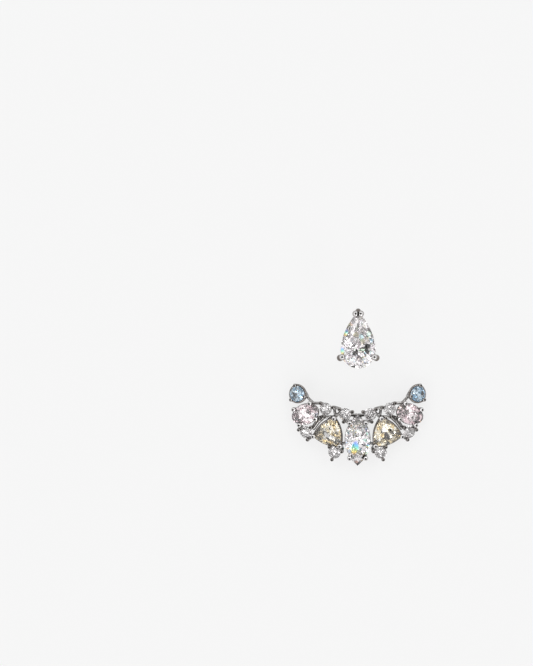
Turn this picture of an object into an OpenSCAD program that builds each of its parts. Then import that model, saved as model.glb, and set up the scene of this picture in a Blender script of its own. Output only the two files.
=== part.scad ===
// Ear jacket earring: a pear stud on its nut, and the fan that sits under the lobe.
// Both lie with their stones up. X runs across the fan, Y up the ear, Z to the front.

/* [Stud] */
// Width of the pear stone
pear_w = 6.1; // [5.6:0.1:6.4]
// Length of the pear stone, round end to tip
pear_l = 10.1; // [9.5:0.1:11]
// Place of the pear's widest point, up from the middle of the earring
pear_y = 6.3; // [6.2:0.1:7]
// Height of the pear's girdle above the floor
pear_z = 12.2; // [11:0.1:14]
// Depth of the stud's basket below the girdle
stud_depth = 3.3; // [3.2:0.1:3.6]
// Diameter of the ear post
post_d = 0.8; // [0.7:0.05:0.9]
// Diameter of the ear nut's disc
nut_d = 5.2; // [4.6:0.1:5.6]
// Height of the ear nut
nut_h = 2.8; // [2:0.1:3.2]
// Running gap between post and nut
nut_gap = 0.05; // [0.02:0.01:0.08]

/* [Fan] */
// Height of the fan's crown above the floor, measured to the girdles
crown_z = 4.7; // [4.6:0.05:5]
// Place of the crown, up from the middle of the earring
crown_y = 0.9; // [0.4:0.1:1.4]
// Radius of the fan's bow from side to side
bow_x = 24; // [23:1:30]
// Radius of the fan's bow from top to bottom
bow_y = 42; // [40:1:60]
// Gap between a stone and its seat
seat_gap = 0.04; // [0.03:0.01:0.06]

/* [Marquise] */
// Width of the marquise
marquise_w = 4.46; // [4.2:0.02:4.6]
// Length of the marquise
marquise_l = 9.2; // [8.8:0.1:9.4]
// Height of its centre on the fan
marquise_y = -9.3; // [-9.4:0.05:-9.2]

/* [Trillions] */
// Centre to corner of a trillion
trillion_corner = 2.9; // [2.7:0.05:3]
// Centre to the middle of a side
trillion_side = 2.04; // [1.96:0.02:2.08]
// Distance of a trillion from the centre line
trillion_x = 4.96; // [4.92:0.01:5.04]
// Height of a trillion's centre on the fan
trillion_y = -8.1; // [-8.2:0.01:-8]
// Turn of the right-hand trillion
trillion_turn = 109; // [106:0.5:112]

/* [Ovals] */
// Length of an oval
oval_l = 5.2; // [5:0.1:5.3]
// Width of an oval
oval_w = 3.5; // [3.3:0.1:3.6]
// Distance of an oval from the centre line
oval_x = 9.2; // [9.15:0.01:9.4]
// Height of an oval's centre on the fan
oval_y = -4.75; // [-4.85:0.01:-4.65]
// Turn of the right-hand oval
oval_turn = -20.5; // [-24:0.5:-17]

/* [Blue rounds] */
// Diameter of a blue round
blue_d = 2.8; // [2.6:0.05:2.9]
// Distance of a blue round from the centre line
blue_x = 10.6; // [10.4:0.05:10.8]
// Height of a blue round's centre on the fan
blue_y = -1.2; // [-1.3:0.05:-1]
// Turn of the right-hand basket
blue_turn = 77; // [72:1:82]

/* [Small rounds] */
// Diameter of a small round
small_d = 2.2; // [2:0.05:2.3]
// Centre to prong of a small basket
small_reach = 1.4; // [1.34:0.02:1.46]

/* [Prongs and wires] */
// Radius of a prong on a large stone
prong_r = 0.43; // [0.38:0.01:0.46]
// Radius of a prong on a small round
small_prong_r = 0.33; // [0.28:0.01:0.35]
// Radius of the gallery wires
wire_r = 0.238; // [0.2:0.001:0.27]
// Radius of the bars that join the baskets
joint_r = 0.27; // [0.24:0.01:0.32]

/* [Bar sleeve] */
// Bore of the sleeve on the back
sleeve_bore = 1; // [0.8:0.05:1.1]
// Outer diameter of the sleeve
sleeve_d = 1.6; // [1.5:0.05:1.7]
// Length of the sleeve
sleeve_l = 1.8; // [1.4:0.1:1.9]
// Middle of the sleeve, up from the middle of the earring
sleeve_y = -5.55; // [-5.6:0.05:-5.4]
// Height of the sleeve's axis above the floor
sleeve_z = 0.85; // [0.85:0.05:1.2]

/* [Hidden] */

// Small rounds of the right-hand side by place: across, up, turn of the basket
ACROSS = 0;
UP = 1;
TURN = 2;
inner = [2.2, -4.75, 41];
upper = [5.6, -3.8, 48];
outer = [9.05, -7.9, 17];
lower = [4.05, -11.45, 49.5];

// Bars between the baskets of the right-hand side: from x, from y, to x, to y
BARS = [
    [2.4, -6, 1.5, -6.5],
    [3.2, -3.9, 4.3, -3.6],
    [3.1, -4.4, 4.05, -5.4],
    [4.3, -3.6, 4.05, -5.4],
    [6.5, -2.9, 8.1, -2.9],
    [6, -5.1, 7.1, -5.5],
    [8.2, -2.8, 9.3, -1.7],
    [7.1, -5.5, 8, -6.9],
    [10.2, -6.6, 10.3, -7.5],
    [7.8, -8.6, 8.7, -9.2],
    [3.1, -10.2, 1.9, -10],
    [3.1, -10.2, 2.7, -11.1],
    [3.1, -10.2, 4.9, -10.4]
];
// Bars along the trillion's outer side, higher up, that close its gap to the oval
WEB = [
    [4.3, -5.25, 6, -5.35],
    [6, -5.35, 7.05, -6.3],
    [7.05, -6.3, 7.85, -7.4]
];

// Basket depths below the girdle, and how far a basket draws in at its foot
marquise_depth = 2.6;
trillion_depth = 2.4;
oval_depth = 2;
blue_depth = 2;
small_depth = 1.6;
foot_share = 0.52;
blue_foot_share = 0.8;
// Level of the upper gallery wire and of the bars, as a share of the depth
gallery_share = 0.17;
bar_drop = 1.1;
web_drop = 0.7;

// Proportions of a cut stone, as shares of its width
table_share = 0.56;
crown_share = 0.15;
pavilion_share = 0.43;
girdle_share = 0.03;
// Levels at which the star facets and the lower halves end
star_level = 0.5;
half_level = 0.75;

silver = [0.78, 0.78, 0.8];
clear = [0.9, 0.9, 0.93];
champagne = [0.93, 0.86, 0.66];
pink = [0.93, 0.78, 0.82];
blue = [0.45, 0.63, 0.82];

wire_sides = 5;
prong_sides = 6;
bar_sides = 5;
smooth = 32;

function unit(v) = v / norm(v);
function mix(a, b, f) = a + (b - a) * f;
function scaled(outline, s) = [for (p = outline) p * s];
function around(list, i) = list[(i + len(list)) % len(list)];

// Point where the line from p along d meets the line from q along e
function crossing(p, d, q, e) =
    p + d * ((q - p).x * e.y - (q - p).y * e.x) / (d.x * e.y - d.y * e.x);

// Outlines: closed, anticlockwise, with a main facet on each even point
function oval_outline(a, b, count) = [
    for (i = [0:count - 1]) [a * cos(360 * i / count), b * sin(360 * i / count)]
];

// Arc that rises from half width w to a tip at height h, f of the way up
function arc_flank(w, h, f) =
    let (r = (h * h + w * w) / (2 * w), a = asin(h / r) * f)
    [r * cos(a) - r + w, r * sin(a)];

// The same rise with a straighter run to the tip
function pear_flank(w, h, f) = [w * (1 - f * f), h * f];

// Four flanks, from the right side round by way of the top tip
function lens_outline(w, h, count) = [
    for (i = [0:count - 1])
        let (
            quarter = count / 4,
            k = floor(i / quarter),
            f = i / quarter - k,
            p = arc_flank(w, h, k % 2 == 0 ? f : 1 - f)
        )
        [(k == 0 || k == 3 ? 1 : -1) * p.x, (k < 2 ? 1 : -1) * p.y]
];

// Two flanks and a half round, from the tip round by way of the left side
function pear_outline(w, h, flank_steps, round_steps) = concat(
    [for (i = [0:flank_steps - 1]) let (p = pear_flank(w, h, 1 - i / flank_steps)) [-p.x, p.y]],
    [for (i = [0:round_steps - 1]) let (a = 180 + 180 * i / round_steps) [w * cos(a), w * sin(a)]],
    [for (i = [0:flank_steps - 1]) pear_flank(w, h, i / flank_steps)]
);

// Three bowed sides between corners, the first corner at angle 0
function three_sided(corner, side, steps) =
    let (
        chord = corner * sqrt(3),
        sag = side - corner / 2,
        r = (chord * chord / 4 + sag * sag) / (2 * sag),
        spread = asin(chord / 2 / r)
    )
    [
        for (k = [0:2], j = [0:steps - 1])
            let (mid = 120 * k + 60, a = mid + spread * (2 * j / steps - 1))
            (side - r) * [cos(mid), sin(mid)] + r * [cos(a), sin(a)]
    ];

pear_rise = pear_l - pear_w / 2;
pear = pear_outline(pear_w / 2, pear_rise, 5, 6);
marquise = lens_outline(marquise_w / 2, marquise_l / 2, 16);
trillion = three_sided(trillion_corner, trillion_side, 6);
oval = oval_outline(oval_l / 2, oval_w / 2, 16);
blue_round = oval_outline(blue_d / 2, blue_d / 2, 16);
small_round = oval_outline(small_d / 2, small_d / 2, 16);

// Coarser outlines that the gallery wires follow
marquise_wire = lens_outline(marquise_w / 2, marquise_l / 2, 12);
oval_wire = oval_outline(oval_l / 2, oval_w / 2, 12);
trillion_wire = three_sided(trillion_corner, trillion_side, 3);

// The fan's surface through the girdles, and its slope
function fan_z(x, y) = crown_z - x * x / (2 * bow_x) - pow(y - crown_y, 2) / (2 * bow_y);
function fan_slope(x, y) = [x / bow_x, (y - crown_y) / bow_y];
function below_fan(x, y, drop) =
    let (slope = fan_slope(x, y))
    [x, y, fan_z(x, y)] - drop * unit([slope.x, slope.y, 1]);

// Sets its children on the fan, facing square out of it
module on_fan(x, y, turn = 0) {
    slope = fan_slope(x, y);
    translate([x, y, fan_z(x, y)])
        rotate(a = atan(norm(slope)), v = [-slope.y, slope.x, 0])
            rotate([0, 0, turn])
                children();
}

module on_side(side) {
    if (side == "left") mirror([1, 0, 0]) children();
    else children();
}

// Brilliant-cut stone with its girdle at z = 0, grown all round by grow
module gem(outline, width, grow = 0) {
    mains = len(outline) / 2;
    rim = [for (p = outline) p + unit(p) * grow];
    band = width * girdle_share / 2 + grow;
    crown = width * crown_share;
    pavilion = width * pavilion_share + grow;
    run = [for (i = [0:mains - 1]) around(rim, 2 * i + 1) - around(rim, 2 * i - 1)];
    function corner(i, s) =
        crossing(rim[2 * i] * s, run[i], around(rim, 2 * i + 2) * s, around(run, i + 1));
    // A grown stone has its facets folded a little, so that no two lie in one plane
    function fuller(p) = p + unit(p) * grow * 0.5;
    star_share = mix(1, table_share, star_level);

    points = concat(
        [for (i = [0:mains - 1]) let (p = rim[2 * i] * table_share) [p.x, p.y, band + crown]],
        [
            for (i = [0:mains - 1])
                let (p = fuller(corner(i, star_share)))
                [p.x, p.y, band + crown * star_level]
        ],
        [for (p = rim) [p.x, p.y, band]],
        [for (p = rim) [p.x, p.y, -band]],
        [
            for (i = [0:mains - 1])
                let (p = fuller(corner(i, 1 - half_level)))
                [p.x, p.y, -band - pavilion * half_level]
        ],
        [[0, 0, -band - pavilion]]
    );
    function table(i) = i % mains;
    function star(i) = mains + (i + mains) % mains;
    function top(j) = 2 * mains + j % (2 * mains);
    function under(j) = 4 * mains + j % (2 * mains);
    function half(i) = 6 * mains + (i + mains) % mains;
    culet = 7 * mains;

    polyhedron(points, concat(
        [for (i = [1:mains - 2]) [0, i + 1, i]],
        [
            for (i = [0:mains - 1])
                each [
                    [table(i), table(i + 1), star(i)],
                    [table(i), star(i), top(2 * i)],
                    [table(i), top(2 * i), star(i - 1)],
                    [star(i), top(2 * i + 1), top(2 * i)],
                    [star(i), top(2 * i + 2), top(2 * i + 1)],
                    [half(i), under(2 * i), under(2 * i + 1)],
                    [half(i), under(2 * i + 1), under(2 * i + 2)],
                    [culet, half(i - 1), under(2 * i)],
                    [culet, under(2 * i), half(i)]
                ]
        ],
        [
            for (j = [0:2 * mains - 1])
                each [[under(j), top(j), top(j + 1)], [under(j), top(j + 1), under(j + 1)]]
        ]
    ));
}

// Round prong that leans out from its foot and closes over the stone's edge
module prong(at, depth, rise, r, foot) {
    reach = norm(at);
    out = [at.x, at.y, 0] / reach;
    along = [-out.y, out.x, 0];
    up = [0, 0, 1];
    // Steps of the prong: distance out, height, radius
    steps = [
        [reach * foot, -depth, 0.75 * r],
        [reach, -r, 0.8 * r],
        [reach, 0.65 * rise, r],
        [reach - 0.3 * r, rise + 0.38 * r, 0.5 * r]
    ];
    last = len(steps) - 1;
    centres = [for (s = steps) s[0] * out + s[1] * up];
    function heading(i) = unit(centres[min(i + 1, last)] - centres[max(i - 1, 0)]);
    points = [
        for (i = [0:last], k = [0:prong_sides - 1])
            let (a = 360 * (k + i / 2) / prong_sides, in = cross(heading(i), along))
            centres[i] + steps[i][2] * (cos(a) * along + sin(a) * in)
    ];
    function at_ring(i, k) = i * prong_sides + k % prong_sides;
    polyhedron(points, concat(
        [[for (k = [0:prong_sides - 1]) at_ring(0, k)]],
        [[for (k = [prong_sides - 1:-1:0]) at_ring(last, k)]],
        [
            for (i = [0:last - 1], k = [0:prong_sides - 1])
                each [
                    [at_ring(i, k), at_ring(i + 1, k), at_ring(i, k + 1)],
                    [at_ring(i, k + 1), at_ring(i + 1, k), at_ring(i + 1, k + 1)]
                ]
        ]
    ));
}

// Closed gallery wire along a flat outline at one level
module gallery(outline, level) {
    count = len(outline);
    // The wire's flats turn by this many sides in all on the way round
    twist = round(count / 2);
    function side(i) =
        let (d = unit(around(outline, i + 1) - around(outline, i)))
        [d.y, -d.x];
    function bisector(i) =
        let (a = side(i - 1), b = side(i))
        (a + b) / (1 + a * b);
    points = [
        for (i = [0:count - 1], k = [0:wire_sides - 1])
            let (
                a = 360 * (k + i * twist / count) / wire_sides,
                p = outline[i] + bisector(i) * wire_r * cos(a)
            )
            [p.x, p.y, level + wire_r * sin(a)]
    ];
    function at_ring(i, k) =
        (i % count) * wire_sides + (k + (i == count ? twist : 0)) % wire_sides;
    polyhedron(points, [
        for (i = [0:count - 1], k = [0:wire_sides - 1])
            each [
                [at_ring(i, k), at_ring(i, k + 1), at_ring(i + 1, k)],
                [at_ring(i, k + 1), at_ring(i + 1, k + 1), at_ring(i + 1, k)]
            ]
    ]);
}

// Open basket: prongs at the given places, a wire at the foot and a rim under the girdle
module basket(prongs, outline, width, depth, r, foot = foot_share, rim = []) {
    rise = width * crown_share;
    for (p = prongs) prong(p, depth, rise, r, foot);
    gallery(scaled(outline, foot), wire_r - depth);
    if (len(rim) > 0) gallery(rim, -gallery_share * depth);
}

// Rim that draws in with the basket, so that the stone hides it
function hidden_rim(outline) = scaled(outline, mix(1, foot_share, gallery_share));

function on_circle(reach, count) = [
    for (i = [0:count - 1]) reach * [cos(360 * i / count), sin(360 * i / count)]
];

// Prong places of each large stone, in the stone's own frame
marquise_prongs = [for (x = [-1, 1], y = [-1, 1]) [x * 1.45, y * 3.25]];
oval_prongs = [for (x = [-1, 1], y = [-1, 1]) [x * 1.68, y * 1.49]];
trillion_prongs = on_circle(trillion_corner + 0.07, 3);
blue_reach = blue_d / 2 + 0.18;

module small_basket(place) {
    on_fan(place[ACROSS], place[UP], place[TURN])
        basket(
            on_circle(small_reach, 3), on_circle(small_reach, 3),
            small_d, small_depth, small_prong_r
        );
}

// Bar between two places on the back of the fan
module bar(from, to) {
    hull() {
        translate(from) sphere(r = joint_r, $fn = bar_sides);
        translate(to) sphere(r = joint_r, $fn = bar_sides);
    }
}

// Cross bar over the sleeve, from one inner basket to the other
module bridge(y) {
    crest = [0, y, sleeve_z + sleeve_d / 2 + joint_r * 0.5];
    for (x = [-1, 1]) bar(crest, below_fan(x * 1.7, y, bar_drop));
}

module half_fan() {
    on_fan(trillion_x, trillion_y, trillion_turn)
        basket(
            trillion_prongs, trillion_wire, 2 * trillion_side, trillion_depth, prong_r,
            rim = trillion_wire
        );
    on_fan(oval_x, oval_y, oval_turn)
        basket(
            oval_prongs, oval_wire, oval_w, oval_depth, prong_r, rim = hidden_rim(oval_wire)
        );
    on_fan(blue_x, blue_y, blue_turn)
        basket(
            on_circle(blue_reach, 3), three_sided(blue_reach, blue_reach * 0.66, 2),
            blue_d, blue_depth, small_prong_r, blue_foot_share,
            rim = three_sided(blue_reach, blue_d / 2 + 0.04, 3)
        );
    for (place = [inner, upper, outer, lower]) small_basket(place);
    for (b = BARS) bar(below_fan(b[0], b[1], bar_drop), below_fan(b[2], b[3], bar_drop));
    for (b = WEB) bar(below_fan(b[0], b[1], web_drop), below_fan(b[2], b[3], web_drop));
}

// Room that the stones of the right-hand side take in the metal
module half_seats() {
    on_fan(trillion_x, trillion_y, trillion_turn) gem(trillion, 2 * trillion_side, seat_gap);
    on_fan(oval_x, oval_y, oval_turn) gem(oval, oval_w, seat_gap);
    on_fan(blue_x, blue_y, blue_turn) gem(blue_round, blue_d, seat_gap);
    for (place = [inner, upper, outer, lower])
        on_fan(place[ACROSS], place[UP], place[TURN]) gem(small_round, small_d, seat_gap);
}

module jacket_frame() {
    floor_w = 60;
    color(silver)
        difference() {
            union() {
                for (side = ["left", "right"]) on_side(side) half_fan();
                on_fan(0, marquise_y)
                    basket(
                        marquise_prongs, marquise_wire, marquise_w, marquise_depth, prong_r,
                        rim = hidden_rim(marquise_wire)
                    );
                for (y = [-0.3, 0.3]) bridge(sleeve_y + y * sleeve_l);
            }
            for (side = ["left", "right"]) on_side(side) half_seats();
            on_fan(0, marquise_y) gem(marquise, marquise_w, seat_gap);
            translate([0, sleeve_y + sleeve_l / 2 + seat_gap, sleeve_z])
                rotate([90, 0, 0])
                    cylinder(h = sleeve_l + 2 * seat_gap, d = sleeve_d + 2 * seat_gap, $fn = smooth);
            translate([-floor_w / 2, -floor_w / 2, -floor_w]) cube(floor_w);
        }
}

// Small plain tube on the back that takes the end of a hanging bar
module bar_sleeve() {
    color(silver)
        translate([0, sleeve_y + sleeve_l / 2, sleeve_z])
            rotate([90, 0, 0])
                difference() {
                    cylinder(h = sleeve_l, d = sleeve_d, $fn = smooth);
                    translate([0, 0, -1]) cylinder(h = sleeve_l + 2, d = sleeve_bore, $fn = smooth);
                }
}

module marquise_stone() { color(clear) on_fan(0, marquise_y) gem(marquise, marquise_w); }
module trillion_stone(side) {
    color(champagne)
        on_side(side) on_fan(trillion_x, trillion_y, trillion_turn) gem(trillion, 2 * trillion_side);
}
module oval_stone(side) {
    color(pink) on_side(side) on_fan(oval_x, oval_y, oval_turn) gem(oval, oval_w);
}
module blue_stone(side) {
    color(blue) on_side(side) on_fan(blue_x, blue_y, blue_turn) gem(blue_round, blue_d);
}
module small_stone(side, place) {
    color(clear)
        on_side(side)
            on_fan(place[ACROSS], place[UP], place[TURN])
                gem(small_round, small_d);
}

// Straight round bar between two points, with a ball at its far end
module rod(from, to, r, ball) {
    run = to - from;
    translate(from)
        rotate([0, acos(run.z / norm(run)), atan2(run.y, run.x)])
            cylinder(h = norm(run), r = r, $fn = smooth);
    translate(to) sphere(r = ball, $fn = smooth);
}

// Claw on a side of the pear: leg, knuckle and tip over the stone's edge
module side_claw(angle, crown) {
    out = [cos(angle), sin(angle), 0];
    knuckle = out * (pear_w / 2 + 0.3) + [0, 0, 0.1];
    rod(out * 0.6 - [0, 0, stud_depth - 0.3], knuckle, 0.42, 0.6);
    rod(knuckle, out * (pear_w / 2 - 0.05) + [0, 0, crown * 0.8], 0.54, 0.56);
}

// Broad cap on the pear's tip: two wings that meet in a crease
module tip_claw(crown) {
    heel = [0, pear_rise - 0.09, 0.05];
    rod([0, 0.6, 0.3 - stud_depth], heel, 0.42, 0.52);
    for (x = [-1, 1]) rod(heel, [x * 0.44, pear_rise - 0.52, crown * 0.77], 0.46, 0.58);
}

module stud_setting() {
    crown = pear_w * crown_share;
    base = 0.6;
    color(silver)
        translate([0, pear_y, pear_z])
            difference() {
                union() {
                    for (angle = [-20, 200]) side_claw(angle, crown);
                    tip_claw(crown);
                    gallery(scaled(pear, 0.68), -1.2);
                    translate([0, 0, -stud_depth]) cylinder(h = base, r = 1.1, $fn = smooth);
                    translate([0, 0, 0.05 - pear_z])
                        cylinder(h = pear_z - stud_depth + base / 2, d = post_d, $fn = smooth);
                }
                gem(pear, pear_w, seat_gap);
            }
}

module stud_stone() { color(clear) translate([0, pear_y, pear_z]) gem(pear, pear_w); }

// Disc nut with a short barrel, bored for the post
module ear_nut() {
    bore = post_d / 2 + nut_gap;
    disc = 0.8;
    barrel = 1.3;
    edge = 0.2;
    color(silver)
        translate([0, pear_y, 0])
            rotate_extrude($fn = 64)
                polygon([
                    [bore, 0], [nut_d / 2 - edge, 0], [nut_d / 2, edge], [nut_d / 2, disc - edge],
                    [nut_d / 2 - edge, disc], [barrel, disc + edge], [barrel, nut_h - edge],
                    [barrel - edge, nut_h], [bore, nut_h]
                ]);
}

stud_setting();
stud_stone();
ear_nut();
jacket_frame();
bar_sleeve();
marquise_stone();
trillion_stone("left");  // trillion_left
trillion_stone("right");  // trillion_right
oval_stone("left");  // oval_left
oval_stone("right");  // oval_right
blue_stone("left");  // blue_left
blue_stone("right");  // blue_right
small_stone("left", inner);  // inner_left
small_stone("right", inner);  // inner_right
small_stone("left", upper);  // upper_left
small_stone("right", upper);  // upper_right
small_stone("left", outer);  // outer_left
small_stone("right", outer);  // outer_right
small_stone("left", lower);  // lower_left
small_stone("right", lower);  // lower_right
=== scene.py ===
import math

import bmesh
import bpy
from mathutils import Matrix, Vector
from mathutils.kdtree import KDTree


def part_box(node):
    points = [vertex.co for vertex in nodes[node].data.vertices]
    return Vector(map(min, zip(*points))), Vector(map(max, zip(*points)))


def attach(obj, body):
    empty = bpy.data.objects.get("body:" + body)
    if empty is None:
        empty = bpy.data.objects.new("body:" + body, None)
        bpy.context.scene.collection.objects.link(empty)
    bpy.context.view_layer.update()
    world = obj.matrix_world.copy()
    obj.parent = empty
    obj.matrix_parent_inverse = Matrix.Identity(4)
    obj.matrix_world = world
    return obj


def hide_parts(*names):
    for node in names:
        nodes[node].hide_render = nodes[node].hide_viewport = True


# Ear jacket earring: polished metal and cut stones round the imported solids.
# Sizes in the dictionaries are millimetres, angles are degrees.
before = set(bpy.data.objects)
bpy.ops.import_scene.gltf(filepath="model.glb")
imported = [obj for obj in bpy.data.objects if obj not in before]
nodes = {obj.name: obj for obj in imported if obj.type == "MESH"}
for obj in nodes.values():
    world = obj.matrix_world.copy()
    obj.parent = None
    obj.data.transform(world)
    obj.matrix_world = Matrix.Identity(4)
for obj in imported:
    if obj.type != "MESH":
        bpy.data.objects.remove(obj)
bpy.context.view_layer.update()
mm = 0.001
print("frame loaded:", len(nodes), "solids")


class Value:
    tree = None  # node tree of the material being made

    def __init__(self, socket):
        self.socket = socket

    @classmethod
    def node(cls, kind, settings=None, inputs=None, output=0):
        made = cls.tree.nodes.new(kind)
        for name, setting in (settings or {}).items():
            if name == "stops":
                while len(made.color_ramp.elements) < len(setting):
                    made.color_ramp.elements.new(0.5)
                for element, (place, colour) in zip(made.color_ramp.elements, setting):
                    element.position = place
                    element.color = colour
            else:
                setattr(made, name, setting)
        for name, given in (inputs or {}).items():
            if isinstance(given, Value):
                cls.tree.links.new(given.socket, made.inputs[name])
            else:
                made.inputs[name].default_value = given
        return cls(made.outputs[output])

    def sum(self, operation, first, second):
        return self.node("ShaderNodeMath", {"operation": operation}, {0: first, 1: second})

    def __add__(self, other):
        return self.sum("ADD", self, other)

    def __sub__(self, other):
        return self.sum("SUBTRACT", self, other)

    def __mul__(self, other):
        return self.sum("MULTIPLY", self, other)

    def __rsub__(self, other):
        return self.sum("SUBTRACT", other, self)

    __radd__ = __add__
    __rmul__ = __mul__


def mixColours(share, first, second):
    return Value.node(
        "ShaderNodeMix", {"data_type": "RGBA"}, {0: share, 6: first, 7: second}, output=2
    )


def smoothStep(value, low, high):
    return Value.node(
        "ShaderNodeMapRange",
        {"interpolation_type": "SMOOTHSTEP"},
        {"Value": value, "From Min": low, "From Max": high},
    )


def placed(centre, turn=0):
    # object coordinates, moved so that the pattern starts at centre
    where = Value.node("ShaderNodeTexCoord", output=3)
    return Value.node(
        "ShaderNodeMapping",
        {"vector_type": "TEXTURE"},
        {"Vector": where, "Location": centre, "Rotation": (0, 0, math.radians(turn))},
    )


def newMaterial(name):
    material = bpy.data.materials.new(name)
    material.use_nodes = True
    Value.tree = material.node_tree
    shader = material.node_tree.nodes["Principled BSDF"]
    return material, shader


def feed(shader, name, value):
    Value.tree.links.new(value.socket, shader.inputs[name])


rhodium = {
    "satin": (0.44, 0.43, 0.425, 1),
    "tarnished": (0.36, 0.32, 0.3, 1),  # slightly warm where the plating is thin
    # painted shade and highlight by level, from 1 mm under the setting's surface to 1 mm over it:
    # satin wires, painted shade in the corners under the tips, painted highlight on the tops of the
    # tips
    "paintedShadeHighlightStops": [
        (0, (0.34, 0.33, 0.325, 1)), (0.3, (0.38, 0.365, 0.355, 1)),
        (0.46, (0.17, 0.145, 0.13, 1)), (0.64, (0.18, 0.155, 0.14, 1)), (0.8, (0.7, 0.69, 0.69, 1)),
    ],
    # painted dark spots: painted reflections on the tips, painted shade along the crease
    "paintedDarkReach": 0.36,
    "paintedDarkTone": (0.02, 0.018, 0.015, 1),
    "beadScale": 2600,  # cells of the painted shade that outlines small beads between the stones, about 0.4 mm across
    "polish": 0.07,
    "haze": 0.22,
    "cloudScale": 420,  # about 2.4 mm across
    "grainScale": 9000,
    "grainHeight": 0.000004,
}


def rhodiumMaterial(name, centre, wear, height=None, beadShadeAmount=0):
    # height: function that gives the level over the setting's surface, -1 to 1
    material, shader = newMaterial(name)
    where = placed(centre)
    clouds = Value.node(
        "ShaderNodeTexNoise",
        {"noise_dimensions": "3D"},
        {"Vector": where, "Scale": rhodium["cloudScale"], "Detail": 4, "Roughness": 0.6},
    )
    grain = Value.node(
        "ShaderNodeTexNoise", {}, {"Vector": where, "Scale": rhodium["grainScale"], "Detail": 3}
    )
    worn = smoothStep(clouds, 0.52, 0.78) * wear
    tone = rhodium["satin"]
    if height:
        # painted shade in the corners under the tips and painted highlight on their tops, by level
        tone = Value.node(
            "ShaderNodeValToRGB", {"stops": rhodium["paintedShadeHighlightStops"]}, {0: height() * 0.5 + 0.5}
        )
        # painted dark reflection spots on the tips and painted shade in the crease, from the vertex
        # attribute
        mark = Value.node("ShaderNodeAttribute", {"attribute_name": "mark"}, output=2)
        tone = mixColours(smoothStep(mark, 0.25, 0.6), tone, rhodium["paintedDarkTone"])
        # painted shade in the seams between small beads, low in the setting
        cells = Value.node(
            "ShaderNodeTexVoronoi",
            {"feature": "DISTANCE_TO_EDGE"},
            {"Vector": where, "Scale": rhodium["beadScale"]},
        )
        paintedBeadSeamShade = (1 - smoothStep(cells, 0.04, 0.14)) * (1 - smoothStep(height(), 0.3, 0.5))
        tone = mixColours(paintedBeadSeamShade * beadShadeAmount, tone, rhodium["paintedDarkTone"])
    feed(shader, "Base Color", mixColours(worn * 0.6, tone, rhodium["tarnished"]))
    feed(shader, "Roughness", rhodium["polish"] + worn * rhodium["haze"] + grain * 0.05)
    bump = Value.node(
        "ShaderNodeBump",
        {},
        {"Height": grain, "Strength": 0.25, "Distance": rhodium["grainHeight"]},
    )
    feed(shader, "Normal", bump)
    shader.inputs["Metallic"].default_value = 1
    return material


# light and deep: the body tint, mixed cell by cell into a painted mosaic of lighter and darker
# facet reflections;
# paintedFire: share of cells painted in rainbow colours, as painted split light; dark: share of
# cells painted near black, as painted shadow under the stone
stoneKinds = {
    "clear": {
        "light": (1, 0.965, 0.975, 1), "deep": (0.9, 0.82, 0.87, 1),
        "ior": 1.8, "cell": 1400, "tilt": 0.4, "paintedFire": 0.05, "dark": 0.04,
    },
    "accent": {
        "light": (0.88, 0.86, 0.86, 1), "deep": (0.3, 0.28, 0.28, 1),
        "ior": 2.15, "cell": 2200, "tilt": 0.4, "paintedFire": 0, "dark": 0.04,
    },
    "champagne": {
        "light": (1, 0.97, 0.87, 1), "deep": (0.76, 0.56, 0.27, 1),
        "ior": 2.0, "cell": 1300, "tilt": 0.3, "paintedFire": 0, "dark": 0.03,
    },
    "pink": {
        "light": (1, 0.93, 0.94, 1), "deep": (0.95, 0.68, 0.74, 1),
        "ior": 2.0, "cell": 1500, "tilt": 0.3, "paintedFire": 0, "dark": 0.02,
    },
    "blue": {
        "light": (0.68, 0.81, 0.91, 1), "deep": (0.08, 0.19, 0.32, 1),
        "ior": 1.9, "cell": 1500, "tilt": 0.3, "paintedFire": 0, "dark": 0.05,
    },
}
# painted shadow colour for the dark cells and dark facets of the stones
shadow = (0.005, 0.004, 0.004, 1)
# rainbow colours for the painted fire and painted flashes
spectrumStops = [
    (0, (1, 0.25, 0.12, 1)), (0.2, (1, 0.6, 0.1, 1)), (0.35, (0.95, 1, 0.3, 1)),
    (0.5, (0.25, 1, 0.6, 1)), (0.7, (0.15, 0.6, 1, 1)), (1, (0.45, 0.2, 1, 1)),
]
# painted flashes in a stone: x, y, half width, half height in mm, turn, and what is painted there:
# split light (a painted rainbow flash), a dark facet (a painted dark facet), or a number for how
# strongly a painted highlight glows
paintedFlashes = {
    "stud_stone": [
        (-2.1, 9.5, 0.35, 0.7, -20, "split"), (-2.75, 6.3, 0.35, 0.8, 0, "split"),
        (0.1, 9.8, 1.9, 3.4, 0, 0.08), (-0.55, 10.6, 0.36, 1.7, -20, 0.3),
        (-1.2, 7.15, 0.62, 0.5, 10, "dark"), (1.47, 7.55, 0.42, 0.85, 15, "dark"),
        (-0.4, 6.5, 0.3, 0.42, 0, "dark"), (0.5, 6.9, 0.24, 0.2, 0, "dark"),
        (-0.75, 3.85, 0.3, 0.4, 0, "dark"),
    ],
    "marquise_stone": [
        (-0.5, -10.6, 0.7, 1.35, -12, "split"), (1.75, -10.3, 0.3, 0.35, 0, "split"),
        (0, -6.1, 1.7, 2, 0, 0.05),
    ],
    "trillion_right": [(5.1, -8.7, 0.6, 0.42, 30, "dark")],
    "trillion_left": [(-5.5, -8.2, 0.5, 0.4, -30, "dark")],
    "blue_left": [(-10.9, -1.3, 0.45, 0.5, 0, "dark")],
}


def axes():
    # object coordinates in millimetres, one value for each
    where = Value.node("ShaderNodeTexCoord", output=3)
    return [Value.node("ShaderNodeSeparateXYZ", {}, {0: where}, output=a) * 1000 for a in range(3)]


def overFan():
    x, y, z = axes()
    up = y - fan["crownY"]
    surface = fan["crownZ"] - x * x * (0.5 / fan["bowX"]) - up * up * (0.5 / fan["bowY"])
    return z - surface - 0.05


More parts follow.
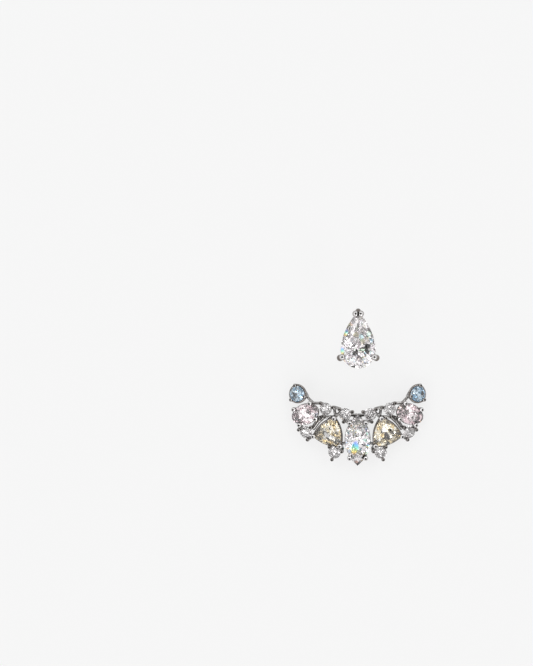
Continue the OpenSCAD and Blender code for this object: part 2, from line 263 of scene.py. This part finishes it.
def overStud():
    return axes()[2] - stud["z"] - 0.6


def vector(operation, first, second=None, output=0):
    inputs = {0: first} if second is None else {0: first, 1: second}
    return Value.node("ShaderNodeVectorMath", {"operation": operation}, inputs, output)


def spectrum(along):
    return Value.node("ShaderNodeValToRGB", {"stops": spectrumStops}, {0: along})


def stoneMaterial(name, kind, centre, paintedBursts=()):
    look = stoneKinds[kind]
    material, shader = newMaterial(name)
    where = placed(centre, 20)
    cells = {"Vector": where, "Scale": look["cell"], "Randomness": 1}
    tint = Value.node("ShaderNodeTexVoronoi", {}, cells, output=1)
    site = Value.node("ShaderNodeTexVoronoi", {}, cells, output=2)
    pick, hue, depth = [
        Value.node("ShaderNodeSeparateXYZ", {}, {0: tint}, output=axis) for axis in range(3)
    ]
    # painted facet reflections: each cell lighter or darker
    body = mixColours(smoothStep(depth, 0.45, 0.7), look["light"], look["deep"])
    # painted shadow: a few cells near black
    body = mixColours(1 - smoothStep(pick, look["dark"], look["dark"] + 0.02), body, shadow)
    # painted fire: a few cells in rainbow colours
    paintedFire = smoothStep(pick, 0.98 - look["paintedFire"], 1 - look["paintedFire"])
    body = mixColours(paintedFire * 0.7, body, spectrum(hue))
    # the middle of each cell, back in object coordinates
    home = Value.node(
        "ShaderNodeMapping",
        {"vector_type": "POINT"},
        {"Vector": site, "Location": centre, "Rotation": (0, 0, math.radians(20))},
    )
    glow = None
    # painted flashes: rainbow colour, dark facets and glowing highlights at fixed places
    for x, y, wide, tall, turn, sort in paintedBursts:
        spot = Value.node(
            "ShaderNodeMapping",
            {"vector_type": "TEXTURE"},
            {
                "Vector": Value.node("ShaderNodeTexCoord", output=3) if sort == "split" else home,
                "Location": (x * mm, y * mm, 0),
                "Rotation": (0, 0, math.radians(turn)),
                "Scale": (wide * mm, tall * mm, 1),
            },
        )
        inside = 1 - smoothStep(vector("LENGTH", spot, output=1), 0.75, 1)
        if sort == "split":
            along = Value.node("ShaderNodeSeparateXYZ", {}, {0: spot}, output=1)
            rays = spectrum(along * 0.5 + 0.5)
            body = mixColours(inside, body, rays)
            glow = mixColours(inside * 0.12, glow or (0, 0, 0, 1), rays)
        elif sort == "dark":
            body = mixColours(inside, body, shadow)
        else:
            glow = mixColours(inside * sort, glow or (0, 0, 0, 1), (1, 0.97, 0.97, 1))
    feed(shader, "Base Color", body)
    # the painted highlights and flashes glow through Emission
    if glow:
        feed(shader, "Emission Color", glow)
        shader.inputs["Emission Strength"].default_value = 1

    # every cell leans its own way, like the many small facets of a fine cut
    lean = vector("SUBTRACT", tint, (0.5, 0.5, 0.5))
    height = vector("DOT_PRODUCT", lean, vector("SUBTRACT", where, site), output=1)
    bump = Value.node(
        "ShaderNodeBump", {}, {"Height": height, "Strength": 1, "Distance": look["tilt"]}
    )
    feed(shader, "Normal", bump)
    feed(shader, "Roughness", smoothStep(hue, 0.4, 0.9) * 0.015)
    shader.inputs["IOR"].default_value = look["ior"]
    shader.inputs["Transmission Weight"].default_value = 1
    return material


fan = {"crownZ": 4.7, "crownY": 0.9, "bowX": 24, "bowY": 42}


def fanPoint(x, y, drop=0):
    slope = Vector((x / fan["bowX"], (y - fan["crownY"]) / fan["bowY"], 1)).normalized()
    z = fan["crownZ"] - x * x / (2 * fan["bowX"]) - (y - fan["crownY"]) ** 2 / (2 * fan["bowY"])
    return Vector((x, y, z)) - slope * drop


def fanPlace(x, y, turn=0):
    across, up = x / fan["bowX"], (y - fan["crownY"]) / fan["bowY"]
    lean = math.atan(math.hypot(across, up))
    tilt = Matrix.Rotation(lean, 4, Vector((-up, across, 0))) if lean else Matrix()
    turned = Matrix.Rotation(math.radians(turn), 4, "Z")
    return Matrix.Translation(fanPoint(x, y)) @ tilt @ turned


def ovalOutline(a, b, count=40):
    turns = [2 * math.pi * i / count for i in range(count)]
    return [Vector((a * math.cos(t), b * math.sin(t), 0)) for t in turns]


def lensOutline(w, h, count=48):
    points = []
    radius = (h * h + w * w) / (2 * w)
    quarter = count // 4
    for i in range(count):
        side, step = divmod(i, quarter)
        share = step / quarter if side % 2 == 0 else 1 - step / quarter
        a = math.asin(h / radius) * share
        x, y = radius * math.cos(a) - radius + w, radius * math.sin(a)
        points.append(Vector((x if side in (0, 3) else -x, y if side < 2 else -y, 0)))
    return points


def threeSided(corner, side, steps=12):
    chord = corner * math.sqrt(3)
    sag = side - corner / 2
    radius = (chord * chord / 4 + sag * sag) / (2 * sag)
    spread = math.asin(chord / 2 / radius)
    points = []
    for k in range(3):
        mid = math.radians(120 * k + 60)
        for j in range(steps):
            a = mid + spread * (2 * j / steps - 1)
            points.append(Vector((
                (side - radius) * math.cos(mid) + radius * math.cos(a),
                (side - radius) * math.sin(mid) + radius * math.sin(a),
                0,
            )))
    return points


def pearOutline(w, h, steps=16):
    flank = [Vector((w * (1 - f * f), h * f, 0)) for f in (i / steps for i in range(steps))]
    left = [Vector((-p.x, p.y, 0)) for p in flank]
    tip = [Vector((0, h, 0))]
    lowerEnd = [math.pi + math.pi * i / steps for i in range(steps)]
    roundEnd = [Vector((w * math.cos(a), w * math.sin(a), 0)) for a in lowerEnd]
    return tip + left[:0:-1] + roundEnd + flank


def onCircle(reach, count=3):
    turns = [2 * math.pi * i / count for i in range(count)]
    return [Vector((reach * math.cos(t), reach * math.sin(t), 0)) for t in turns]


class Metalwork:
    # gathers wires and balls, then fuses them into one cast body

    def __init__(self, name, voxel):
        self.name, self.voxel = name, voxel
        self.runs = []
        self.balls = []
        self.paintedDarkSpots = []

    def run(self, points, radii, closed=False):
        self.runs.append((points, radii, closed))

    def ball(self, centre, radius, squash=1, place=None):
        self.balls.append((centre, radius, squash, place or Matrix()))

    def mark(self, point):
        # a painted dark spot: painted reflection on top of a tip, painted shade along the crease
        self.paintedDarkSpots.append(point)

    def mirrored(self):
        # the same wires and balls on the other side of the middle
        flip = Matrix.Scale(-1, 4, (1, 0, 0))
        for points, radii, closed in list(self.runs):
            self.runs.append(([flip @ p for p in points], radii, closed))
        for centre, radius, squash, place in list(self.balls):
            self.balls.append((centre, radius, squash, flip @ place))
        self.paintedDarkSpots += [flip @ point for point in self.paintedDarkSpots]

    def fused(self, smoothing, cutters):
        data = bpy.data.curves.new(self.name + "Wires", "CURVE")
        data.dimensions = "3D"
        data.bevel_depth = mm
        data.bevel_resolution = 3
        data.use_fill_caps = True
        for points, radii, closed in self.runs:
            spline = data.splines.new("POLY")
            spline.points.add(len(points) - 1)
            spline.use_cyclic_u = closed
            for knot, point, radius in zip(spline.points, points, radii):
                knot.co = (*(point * mm), 1)
                knot.radius = radius
        wires = bpy.data.objects.new(self.name + "Wires", data)
        bpy.context.collection.objects.link(wires)
        bm = bmesh.new()
        bm.from_mesh(wires.to_mesh())
        for centre, radius, squash, place in self.balls:
            shape = place @ Matrix.Translation(centre) @ Matrix.Diagonal((1, 1, squash, 1))
            shape.translation *= mm
            bmesh.ops.create_icosphere(bm, subdivisions=3, radius=radius * mm, matrix=shape)
        bmesh.ops.recalc_face_normals(bm, faces=bm.faces)
        mesh = bpy.data.meshes.new(self.name)
        bm.to_mesh(mesh)
        bm.free()
        bpy.data.objects.remove(wires)

        body = bpy.data.objects.new(self.name, mesh)
        bpy.context.collection.objects.link(body)
        remesh = body.modifiers.new("Cast", "REMESH")
        remesh.mode = "VOXEL"
        remesh.voxel_size = self.voxel * mm
        soft = body.modifiers.new("Tumbled", "SMOOTH")
        soft.factor = 0.5
        soft.iterations = smoothing
        seat = body.modifiers.new("Seats", "BOOLEAN")
        seat.operation = "DIFFERENCE"
        seat.solver = "MANIFOLD"
        seat.object = cutters
        applyModifiers(body)
        sweep(body)
        self.shade(body)
        return body

    def shade(self, body):
        # each vertex: 1 on a painted dark spot, down to 0 at its reach
        tree = KDTree(len(self.paintedDarkSpots))
        for number, point in enumerate(self.paintedDarkSpots):
            tree.insert(point * mm, number)
        tree.balance()
        reach = rhodium["paintedDarkReach"] * mm
        near = [max(0, 1 - tree.find(v.co)[2] / reach) for v in body.data.vertices]
        body.data.attributes.new("mark", "FLOAT", "POINT").data.foreach_set("value", near)


def applyModifiers(piece):
    shape = piece.evaluated_get(bpy.context.evaluated_depsgraph_get())
    made = bpy.data.meshes.new_from_object(shape)
    piece.modifiers.clear()
    old = piece.data
    piece.data = made
    bpy.data.meshes.remove(old)
    made.name = piece.name


crumbs = {"weld": 0.002, "faces": 400}  # corners nearer than weld join, smaller islands go


def sweep(piece):
    # drops the crumbs and folded slivers that a cut leaves behind
    bm = bmesh.new()
    bm.from_mesh(piece.data)
    bmesh.ops.triangulate(bm, faces=bm.faces)
    bmesh.ops.remove_doubles(bm, verts=bm.verts, dist=crumbs["weld"] * mm)
    twins = {}
    for face in bm.faces:
        twins.setdefault(frozenset(face.verts), []).append(face)
    folded = [face for faces in twins.values() if len(faces) > 1 for face in faces]
    bmesh.ops.delete(bm, geom=folded, context="FACES")
    spare = [face for face in bm.faces if all(len(edge.link_faces) != 2 for edge in face.edges)]
    bmesh.ops.delete(bm, geom=spare, context="FACES")
    left = set(bm.faces)
    while left:
        island = {left.pop()}
        border = list(island)
        while border:
            found = {face for edge in border.pop().edges for face in edge.link_faces} & left
            left -= found
            island |= found
            border += found
        if len(island) < crumbs["faces"]:
            bmesh.ops.delete(bm, geom=list(island), context="FACES")
    bm.to_mesh(piece.data)
    bm.free()


def stoneCutters(name, stones, gap):
    # the stones again, grown by the gap, to cut their seats, and a slab for the ground under them
    bm = bmesh.new()
    slab = Matrix.Translation((0, 0, -2 * mm)) @ Matrix.Diagonal((60 * mm, 60 * mm, 4 * mm, 1))
    bmesh.ops.create_cube(bm, size=1, matrix=slab)
    for stone in stones:
        grown = bmesh.new()
        grown.from_mesh(nodes[stone].data)
        bmesh.ops.remove_doubles(grown, verts=grown.verts, dist=1e-7)
        middle = sum((v.co for v in grown.verts), Vector()) / len(grown.verts)
        size = min(v for v in (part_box(stone)[1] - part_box(stone)[0])[:2])
        share = 1 + 2 * gap * mm / size
        bmesh.ops.scale(
            grown, vec=(share,) * 3, space=Matrix.Translation(-middle), verts=grown.verts
        )
        part = bpy.data.meshes.new("grown")
        grown.to_mesh(part)
        grown.free()
        bm.from_mesh(part)
        bpy.data.meshes.remove(part)
    mesh = bpy.data.meshes.new(name)
    bm.to_mesh(mesh)
    bm.free()
    cutter = bpy.data.objects.new(name, mesh)
    bpy.context.collection.objects.link(cutter)
    cutter.hide_render = True
    return cutter


def finishMetal(body, material, *replaced):
    body.data.shade_smooth()
    body.data.set_sharp_from_angle(angle=math.radians(55))
    body.data.materials.clear()
    body.data.materials.append(material)
    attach(body, "root")
    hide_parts(*replaced)
    print(body.name, "faces:", len(body.data.polygons))


baskets = {
    "marquise": {
        "at": (0, -9.3, 0), "width": 4.46, "depth": 2.6, "prong": 0.43, "foot": 0.52,
        "prongs": [(x, y) for x in (-1.45, 1.45) for y in (-3.25, 3.25)],
        "wire": lensOutline(2.23, 4.6), "rim": lensOutline(2.23 * 0.918, 4.6 * 0.918),
        "paired": False,
    },
    "trillion": {
        "at": (4.96, -8.1, 109), "width": 4.08, "depth": 2.4, "prong": 0.43, "foot": 0.52,
        "prongs": [p.xy for p in onCircle(2.97)],
        "wire": threeSided(2.9, 2.04), "rim": threeSided(2.9, 2.04), "paired": True,
    },
    "oval": {
        "at": (9.2, -4.75, -20.5), "width": 3.5, "depth": 2, "prong": 0.43, "foot": 0.52,
        "prongs": [(x, y) for x in (-1.68, 1.68) for y in (-1.49, 1.49)],
        "wire": ovalOutline(2.6, 1.75), "rim": ovalOutline(2.6 * 0.918, 1.75 * 0.918),
        "paired": True,
    },
    "blue": {
        "at": (10.6, -1.2, 77), "width": 2.8, "depth": 2, "prong": 0.33, "foot": 0.8,
        "prongs": [p.xy for p in onCircle(1.58)],
        "wire": threeSided(1.58, 1.58 * 0.66, 8), "rim": threeSided(1.58, 1.44), "paired": True,
    },
}
smallRounds = {
    "places": [(2.2, -4.75, 41), (5.6, -3.8, 48), (9.05, -7.9, 17), (4.05, -11.45, 49.5)],
    "width": 2.2, "depth": 1.6, "reach": 1.4, "prong": 0.33, "foot": 0.52,
}
for number, place in enumerate(smallRounds["places"]):
    baskets["small%d" % number] = {
        "at": place, "width": smallRounds["width"], "depth": smallRounds["depth"],
        "prong": smallRounds["prong"], "foot": smallRounds["foot"],
        "prongs": [p.xy for p in onCircle(smallRounds["reach"])],
        "wire": onCircle(smallRounds["reach"]), "rim": None, "paired": True,
    }
wires = {"radius": 0.238, "rimShare": 0.17, "crownShare": 0.15}
bars = {
    "radius": 0.27, "drop": 1.1,
    "runs": [
        (2.4, -6, 1.5, -6.5), (3.2, -3.9, 4.3, -3.6), (3.1, -4.4, 4.05, -5.4),
        (4.3, -3.6, 4.05, -5.4), (6.5, -2.9, 8.1, -2.9), (6, -5.1, 7.1, -5.5),
        (8.2, -2.8, 9.3, -1.7), (7.1, -5.5, 8, -6.9), (10.2, -6.6, 10.3, -7.5),
        (7.8, -8.6, 8.7, -9.2), (3.1, -10.2, 1.9, -10), (3.1, -10.2, 2.7, -11.1),
        (3.1, -10.2, 4.9, -10.4),
    ],
    "webDrop": 0.7,
    "web": [(4.3, -5.25, 6, -5.35), (6, -5.35, 7.05, -6.3), (7.05, -6.3, 7.85, -7.4)],
}
sleeve = {"y": -5.55, "z": 0.85, "outer": 1.6, "length": 1.8}


def basket(metal, look):
    place = fanPlace(*look["at"])
    rise = look["width"] * wires["crownShare"]
    r, depth, foot = look["prong"], look["depth"], look["foot"]
    for x, y in look["prongs"]:
        reach = math.hypot(x, y)
        out = Vector((x, y, 0)) / reach
        steps = [
            (reach * foot, -depth, 0.75 * r),
            (reach * (foot + 1) / 2 + 0.05, -depth * 0.55, 0.74 * r),
            (reach, -r, 0.8 * r),
            (reach, 0.5 * rise, 0.95 * r),
        ]
        points = [place @ (out * away + Vector((0, 0, level))) for away, level, _ in steps]
        metal.run(points, [radius for _, _, radius in steps])
        tip = out * (reach - 0.06) + Vector((0, 0, 0.62 * rise))
        metal.ball(tip, r * 1.04, 0.86, place)
        # painted dark reflection spot on top of each prong tip
        metal.mark(place @ (tip + Vector((0, 0, r * 0.9))))
    loops = [([p * foot for p in look["wire"]], wires["radius"] - depth)]
    if look["rim"]:
        loops.append((look["rim"], -wires["rimShare"] * depth))
    for outline, level in loops:
        loop = [place @ (p + Vector((0, 0, level))) for p in outline]
        metal.run(loop, [wires["radius"]] * len(loop), closed=True)


fanMetal = Metalwork("fanMetal", 0.09)
for look in baskets.values():
    if look["paired"]:
        basket(fanMetal, look)
for drop, runs in ((bars["drop"], bars["runs"]), (bars["webDrop"], bars["web"])):
    for x1, y1, x2, y2 in runs:
        ends = [fanPoint(x1, y1, drop), fanPoint(x2, y2, drop)]
        fanMetal.run(ends, [bars["radius"]] * 2)
        for end in ends:
            fanMetal.ball(end, bars["radius"])
for share in (-0.3, 0.3):
    y = sleeve["y"] + share * sleeve["length"]
    crest = Vector((0, y, sleeve["z"] + sleeve["outer"] / 2 + bars["radius"] * 0.5))
    fanMetal.run([crest, fanPoint(1.7, y, bars["drop"])], [bars["radius"]] * 2)
    fanMetal.ball(crest, bars["radius"])
fanMetal.mirrored()
basket(fanMetal, baskets["marquise"])
apart = ("stud_setting", "stud_stone", "ear_nut", "jacket_frame", "bar_sleeve")
fanStones = [node for node in nodes if node not in apart]
fanSeats = stoneCutters("fanSeats", fanStones, 0.03)
fanBody = fanMetal.fused(3, fanSeats)
fanCoat = rhodiumMaterial("fanRhodium", (0, -7 * mm, 3 * mm), 0.6, overFan, 0.5)
finishMetal(fanBody, fanCoat, "jacket_frame")
print("fan metal done")


stud = {
    "y": 6.3, "z": 12.2, "width": 6.1, "rise": 7.05, "depth": 3.3, "post": 0.8, "leg": 0.42,
    "sideClaw": {"heelBall": 0.6, "neck": 0.54, "tipBall": 0.56},
    "upperClaw": {"heelBall": 0.52, "neck": 0.46, "tipBall": 0.58},
    "creaseSteps": 7, "creaseStep": 0.17, "creaseOver": 0.42,
}
half = stud["width"] / 2
crown = stud["width"] * wires["crownShare"]
studMetal = Metalwork("studMetal", 0.06)
studPlace = Matrix.Translation((0, stud["y"], stud["z"]))


def claw(foot, heel, tips, sizes):
    # leg up to a ball beside the stone, and a short arm over the stone's edge for each tip
    tipBall = sizes["tipBall"]
    studMetal.run([studPlace @ foot, studPlace @ heel], [stud["leg"]] * 2)
    studMetal.ball(heel, sizes["heelBall"], 1, studPlace)
    for tip in tips:
        studMetal.run([studPlace @ heel, studPlace @ tip], [sizes["neck"]] * 2)
        studMetal.ball(tip, tipBall, 1, studPlace)
        # painted dark reflection spot on top of each tip ball
        studMetal.mark(studPlace @ (tip + Vector((0, 0, tipBall))))


for angle in (-20, 200):
    out = Vector((math.cos(math.radians(angle)), math.sin(math.radians(angle)), 0))
    claw(
        out * 0.6 - Vector((0, 0, stud["depth"] - 0.3)),
        out * (half + 0.3) + Vector((0, 0, 0.1)),
        [out * (half - 0.05) + Vector((0, 0, crown * 0.8))],
        stud["sideClaw"],
    )
claw(
    Vector((0, 0.6, 0.3 - stud["depth"])),
    Vector((0, stud["rise"] - 0.09, 0.05)),
    [Vector((x * 0.44, stud["rise"] - 0.52, crown * 0.77)) for x in (-1, 1)],
    stud["upperClaw"],
)
for step in range(stud["creaseSteps"]):  # painted shade along the crease down the middle of the upper claw
    down = stud["rise"] - step * stud["creaseStep"]
    studMetal.mark(studPlace @ Vector((0, down, crown * 0.77 + stud["creaseOver"])))
loop = [studPlace @ (p * 0.68 + Vector((0, 0, -1.2))) for p in pearOutline(half, stud["rise"])]
studMetal.run(loop, [wires["radius"]] * len(loop), closed=True)
base = Vector((0, 0, -stud["depth"]))
studMetal.run([studPlace @ base, studPlace @ (base + Vector((0, 0, 0.6)))], [1.1, 1.1])
studMetal.run(
    [Vector((0, stud["y"], 0.05)), Vector((0, stud["y"], stud["z"] - stud["depth"] + 0.3))],
    [stud["post"] / 2] * 2,
)
studSeat = stoneCutters("studSeat", ["stud_stone"], 0.03)
studBody = studMetal.fused(4, studSeat)
studCoat = rhodiumMaterial("studRhodium", (0, 6 * mm, 12 * mm), 0.5, overStud)
finishMetal(studBody, studCoat, "stud_setting")
for cutter in (fanSeats, studSeat):
    bpy.data.objects.remove(cutter)
print("stud metal done")


def dress(node, material):
    data = nodes[node].data
    data.materials.clear()
    data.materials.append(material)


for node in ("ear_nut", "bar_sleeve"):
    low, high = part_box(node)
    dress(node, rhodiumMaterial(node + "Rhodium", (low + high) / 2, 0.8))

stoneOf = {
    "stud_stone": "clear", "marquise_stone": "clear", "trillion": "champagne", "oval": "pink",
    "blue": "blue", "inner": "accent", "upper": "accent", "outer": "accent", "lower": "accent",
}
for node in fanStones + ["stud_stone"]:
    kind = stoneOf.get(node) or stoneOf[node.split("_")[0]]
    low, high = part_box(node)
    dress(node, stoneMaterial(node + "Cut", kind, (low + high) / 2, paintedFlashes.get(node, ())))
print("stones dressed")


studio = {
    "floorSize": 1.6,
    "floorColour": (0.1, 0.1, 0.1, 1),
    "floorGlow": 0.783,
    "sky": 1,
    # brightness by the upward part of the direction
    "skyStops": [(0, (0.8, 0.8, 0.8, 1)), (0.2, (1, 1, 1, 1)), (0.6, (1.1, 1.1, 1.1, 1))],
    # dark patches beside the zenith: turn, height angle, reach
    "darkPatches": [(-70, 76, 12), (130, 58, 9), (10, 62, 8)],
    "darkTone": (0.04, 0.04, 0.04, 1),
    # softboxes: turn round the piece, height angle, distance, width, power
    "lamps": [
        (35, 50, 0.6, 0.2, 0.5),
        (125, 55, 0.6, 0.16, 0.5),
        (225, 48, 0.6, 0.2, 0.5),
        (300, 40, 0.6, 0.14, 0.4),
    ],
}


def floorPiece():
    bm = bmesh.new()
    bmesh.ops.create_grid(bm, x_segments=1, y_segments=1, size=studio["floorSize"] / 2)
    mesh = bpy.data.meshes.new("floor")
    bm.to_mesh(mesh)
    bm.free()
    floor = bpy.data.objects.new("floor", mesh)
    bpy.context.collection.objects.link(floor)
    material, shader = newMaterial("paleFloor")
    paper = Value.node("ShaderNodeTexNoise", {}, {"Vector": placed((0, 0, 0)), "Scale": 60})
    tone = studio["floorColour"]
    feed(shader, "Base Color", mixColours(paper * 0.05, tone, (0.12, 0.12, 0.12, 1)))
    shader.inputs["Emission Color"].default_value = (1, 1, 1, 1)
    shader.inputs["Emission Strength"].default_value = studio["floorGlow"]
    shader.inputs["Roughness"].default_value = 0.9
    shader.inputs["Specular IOR Level"].default_value = 0.1
    mesh.materials.append(material)


def aimed(turn, height):
    t, h = math.radians(turn), math.radians(height)
    return Vector((math.cos(t) * math.cos(h), math.sin(t) * math.cos(h), math.sin(h)))


def studioLights():
    for number, (turn, height, distance, width, power) in enumerate(studio["lamps"]):
        lamp = bpy.data.lights.new("softbox%d" % number, "AREA")
        lamp.shape = "SQUARE"
        lamp.size = width
        lamp.energy = power
        away = aimed(turn, height)
        box = bpy.data.objects.new(lamp.name, lamp)
        box.location = away * distance
        box.rotation_euler = away.to_track_quat("Z", "Y").to_euler()
        bpy.context.collection.objects.link(box)
    world = bpy.data.worlds.new("studioSky")
    bpy.context.scene.world = world
    world.use_nodes = True
    Value.tree = world.node_tree
    towards = Value.node("ShaderNodeTexCoord")
    level = Value.node("ShaderNodeSeparateXYZ", {}, {0: towards}, output=2)
    glow = Value.node("ShaderNodeValToRGB", {"stops": studio["skyStops"]}, {0: level})
    for turn, height, reach in studio["darkPatches"]:
        near = vector("DOT_PRODUCT", towards, aimed(turn, height), output=1)
        inner, outer = math.cos(math.radians(reach * 0.8)), math.cos(math.radians(reach * 1.2))
        glow = mixColours(smoothStep(near, outer, inner), glow, studio["darkTone"])
    sky = world.node_tree.nodes["Background"]
    Value.tree.links.new(glow.socket, sky.inputs["Color"])
    sky.inputs["Strength"].default_value = studio["sky"]


view = {
    "middle": (-15.96, 9.48, 4.4),  # what the photograph's centre looks at
    "distance": 1500, "tall": 116.55, "sensor": 36,
}


def photoCamera():
    data = bpy.data.cameras.new("photoCamera")
    data.sensor_width = view["sensor"]
    data.lens = view["sensor"] * view["distance"] / view["tall"]
    data.clip_start, data.clip_end = 0.05, 10
    camera = bpy.data.objects.new("photoCamera", data)
    x, y, z = view["middle"]
    camera.location = Vector((x, y, z + view["distance"])) * mm
    bpy.context.collection.objects.link(camera)
    bpy.context.scene.camera = camera


floorPiece()
studioLights()
photoCamera()
bpy.context.scene.view_settings.view_transform = "Standard"
print("studio ready")
